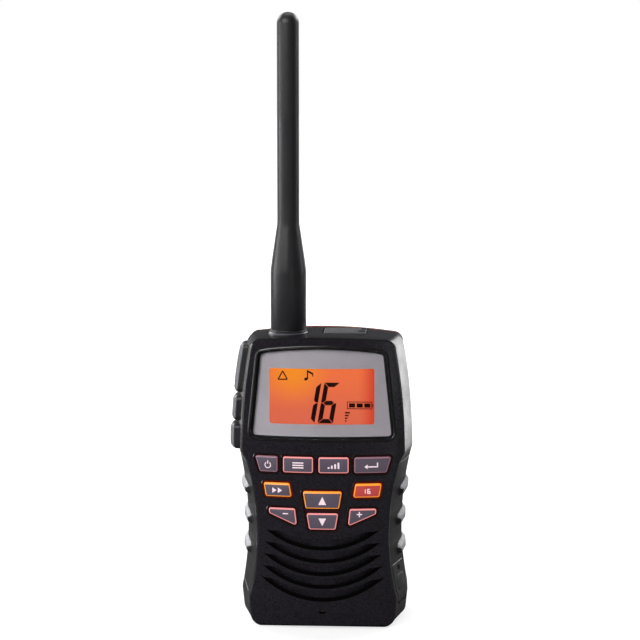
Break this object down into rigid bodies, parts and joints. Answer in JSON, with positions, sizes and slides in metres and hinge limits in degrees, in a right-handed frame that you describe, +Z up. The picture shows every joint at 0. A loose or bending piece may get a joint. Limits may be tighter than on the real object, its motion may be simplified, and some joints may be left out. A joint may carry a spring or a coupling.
{
  "type": "handheld marine VHF radio",
  "caption": "Waisted handheld marine radio with crowned front, gill-type speaker louvres, display window, sprung keys, side buttons, whip antenna, jack covers and sprung belt clip.",
  "frame": {"origin": "middle of the flat resting face, in the plane through the widest line of the sides", "axes": "+Z up along the antenna, -Y out of the front face, +X to the right as seen from the front"},
  "size_m": [0.0738, 0.0511, 0.2438],
  "materials": {
    "housing": "fine moulded texture, charcoal",
    "core": "moulded, bright orange",
    "core_rubber": "soft, orange",
    "grip": "ribbed, matt black",
    "screw": "satin",
    "window": "clear, polished",
    "mask": "silver-grey print",
    "seal": "matt black",
    "lcd": "lit orange",
    "diffuser": "milky",
    "key_dark": "dark cap with pale rim, satin",
    "key_amber": "dark cap with amber rim, satin",
    "key_red": "red cap with amber rim, satin",
    "mat": "translucent",
    "board": "green lacquer",
    "tin": "tinned",
    "button": "satin dark grey",
    "speaker": "dark",
    "cloth": "black woven",
    "antenna": "smooth satin black",
    "collar": "satin grey",
    "brass": "turned",
    "nut": "satin",
    "flap": "textured grey",
    "jack": "black",
    "battery": "blue sleeve",
    "clip": "satin black"
  },
  "bodies": {
    "housing": {"front_shell": "housing", "floating_core": "core", "rear_cover": "housing", "grip_left": "grip", "grip_right": "grip", "case_screws": "screw", "display_window": "window", "display_mask": "mask", "display_seal": "seal", "lcd_panel": "lcd", "backlight": "diffuser", "keypad_mat": "mat", "main_board": "board", "rf_shield": "tin", "side_switch_board": "board", "speaker": "speaker", "speaker_gasket": "seal", "speaker_cloth": "cloth", "microphone": "tin", "antenna_whip": "antenna", "antenna_seat": "collar", "antenna_stud": "brass", "antenna_nut": "nut", "audio_jack": "jack", "charge_jack": "jack", "battery_pack": "battery", "battery_cover": "housing", "battery_gasket": "core_rubber", "battery_screws": "screw", "clip_base": "housing", "clip_screws": "screw", "clip_pin": "nut", "clip_spring": "screw"},
    "key_power": {"key_power": "key_dark"},
    "key_memory": {"key_memory": "key_dark"},
    "key_output": {"key_output": "key_dark"},
    "key_enter": {"key_enter": "key_dark"},
    "key_scan": {"key_scan": "key_amber"},
    "key_sixteen": {"key_sixteen": "key_red"},
    "key_up": {"key_up": "key_amber"},
    "key_down": {"key_down": "key_dark"},
    "key_volume_down": {"key_volume_down": "key_dark"},
    "key_volume_up": {"key_volume_up": "key_dark"},
    "talk_button": {"talk_button": "button"},
    "side_button_upper": {"side_button_upper": "button"},
    "side_button_lower": {"side_button_lower": "button"},
    "top_jack_cover": {"top_jack_cover": "flap"},
    "side_jack_cover": {"side_jack_cover": "grip"},
    "belt_clip": {"belt_clip": "clip"}
  },
  "joints": [
    {"name": "key_power_press", "type": "slide", "parent": "housing", "child": "key_power", "axis": [0, 1, 0], "range_m": [0, 0.0008], "stiffness_N_per_m": 800},
    {"name": "key_memory_press", "type": "slide", "parent": "housing", "child": "key_memory", "axis": [0, 1, 0], "range_m": [0, 0.0008], "stiffness_N_per_m": 800},
    {"name": "key_output_press", "type": "slide", "parent": "housing", "child": "key_output", "axis": [0, 1, 0], "range_m": [0, 0.0008], "stiffness_N_per_m": 800},
    {"name": "key_enter_press", "type": "slide", "parent": "housing", "child": "key_enter", "axis": [0, 1, 0], "range_m": [0, 0.0008], "stiffness_N_per_m": 800},
    {"name": "key_scan_press", "type": "slide", "parent": "housing", "child": "key_scan", "axis": [0, 1, 0], "range_m": [0, 0.0008], "stiffness_N_per_m": 800},
    {"name": "key_sixteen_press", "type": "slide", "parent": "housing", "child": "key_sixteen", "axis": [0, 1, 0], "range_m": [0, 0.0008], "stiffness_N_per_m": 800},
    {"name": "key_up_press", "type": "slide", "parent": "housing", "child": "key_up", "axis": [0, 1, 0], "range_m": [0, 0.0008], "stiffness_N_per_m": 800},
    {"name": "key_down_press", "type": "slide", "parent": "housing", "child": "key_down", "axis": [0, 1, 0], "range_m": [0, 0.0008], "stiffness_N_per_m": 800},
    {"name": "key_volume_down_press", "type": "slide", "parent": "housing", "child": "key_volume_down", "axis": [0, 1, 0], "range_m": [0, 0.0008], "stiffness_N_per_m": 800},
    {"name": "key_volume_up_press", "type": "slide", "parent": "housing", "child": "key_volume_up", "axis": [0, 1, 0], "range_m": [0, 0.0008], "stiffness_N_per_m": 800},
    {"name": "talk_button_press", "type": "slide", "parent": "housing", "child": "talk_button", "axis": [1, 0, 0], "range_m": [0, 0.001], "stiffness_N_per_m": 1200},
    {"name": "side_button_upper_press", "type": "slide", "parent": "housing", "child": "side_button_upper", "axis": [1, 0, 0], "range_m": [0, 0.001], "stiffness_N_per_m": 1000},
    {"name": "side_button_lower_press", "type": "slide", "parent": "housing", "child": "side_button_lower", "axis": [1, 0, 0], "range_m": [0, 0.001], "stiffness_N_per_m": 1000},
    {"name": "top_jack_cover_hinge", "type": "hinge", "parent": "housing", "child": "top_jack_cover", "pos_m": [0.0005, -0.0018, 0.1169], "axis": [0, -1, 0], "range_deg": [0, 95]},
    {"name": "side_jack_cover_hinge", "type": "hinge", "parent": "housing", "child": "side_jack_cover", "pos_m": [0.03104, -0.00612, 0.009], "axis": [0.2422, 0.9702, 0], "range_deg": [0, 90]},
    {"name": "belt_clip_hinge", "type": "hinge", "parent": "housing", "child": "belt_clip", "pos_m": [0, 0.026, 0.0974], "axis": [1, 0, 0], "range_deg": [0, 18], "stiffness_Nm_per_rad": 1.5, "springref_deg": -5.73}
  ]
}
